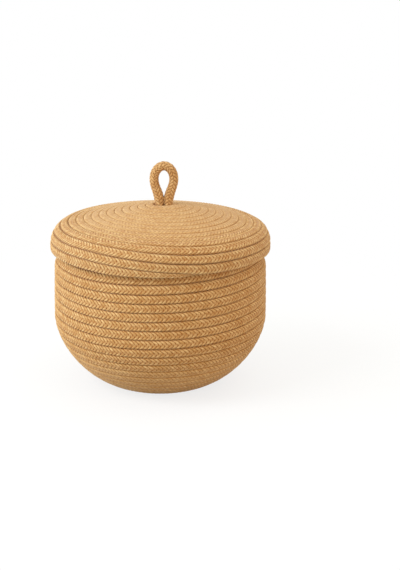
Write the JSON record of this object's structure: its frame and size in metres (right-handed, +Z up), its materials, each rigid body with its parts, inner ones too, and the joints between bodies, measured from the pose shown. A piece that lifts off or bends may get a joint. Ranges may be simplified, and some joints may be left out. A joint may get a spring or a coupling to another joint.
{
  "type": "knitting basket",
  "caption": "Round-bottomed basket of sewn rope with a domed lift-off rope lid and a standing rope loop handle.",
  "frame": {"origin": "on the floor plane under the middle of the basket", "axes": "+Z up along the basket's turning axis; the loop handle lies in the XZ plane; -Y faces the camera of the picture"},
  "size_m": [0.2423, 0.238, 0.2508],
  "materials": {
    "basket_rope": "braided natural fibre rope, dull",
    "lid_rope": "braided natural fibre rope, thinner, dull",
    "loop_rope": "round braided rope, browner, dull",
    "sewing_thread": "waxed cotton thread"
  },
  "bodies": {
    "basket": {"basket_coil": "basket_rope", "basket_seam_thread": "sewing_thread"},
    "lid": {"lid_coil": "lid_rope", "lid_seam_thread": "sewing_thread", "loop_tail_left": "loop_rope", "loop_tail_right": "loop_rope"},
    "loop": {"lid_loop": "loop_rope"}
  },
  "joints": [
    {"name": "lid_lift", "type": "slide", "parent": "basket", "child": "lid", "axis": [0, 0, 1], "range_m": [0, 0.15]},
    {"name": "loop_bend", "type": "hinge", "parent": "lid", "child": "loop", "pos_m": [0.005, 0, 0.20103], "axis": [1, 0, 0], "range_deg": [-45, 45], "stiffness_Nm_per_rad": 0.05}
  ]
}
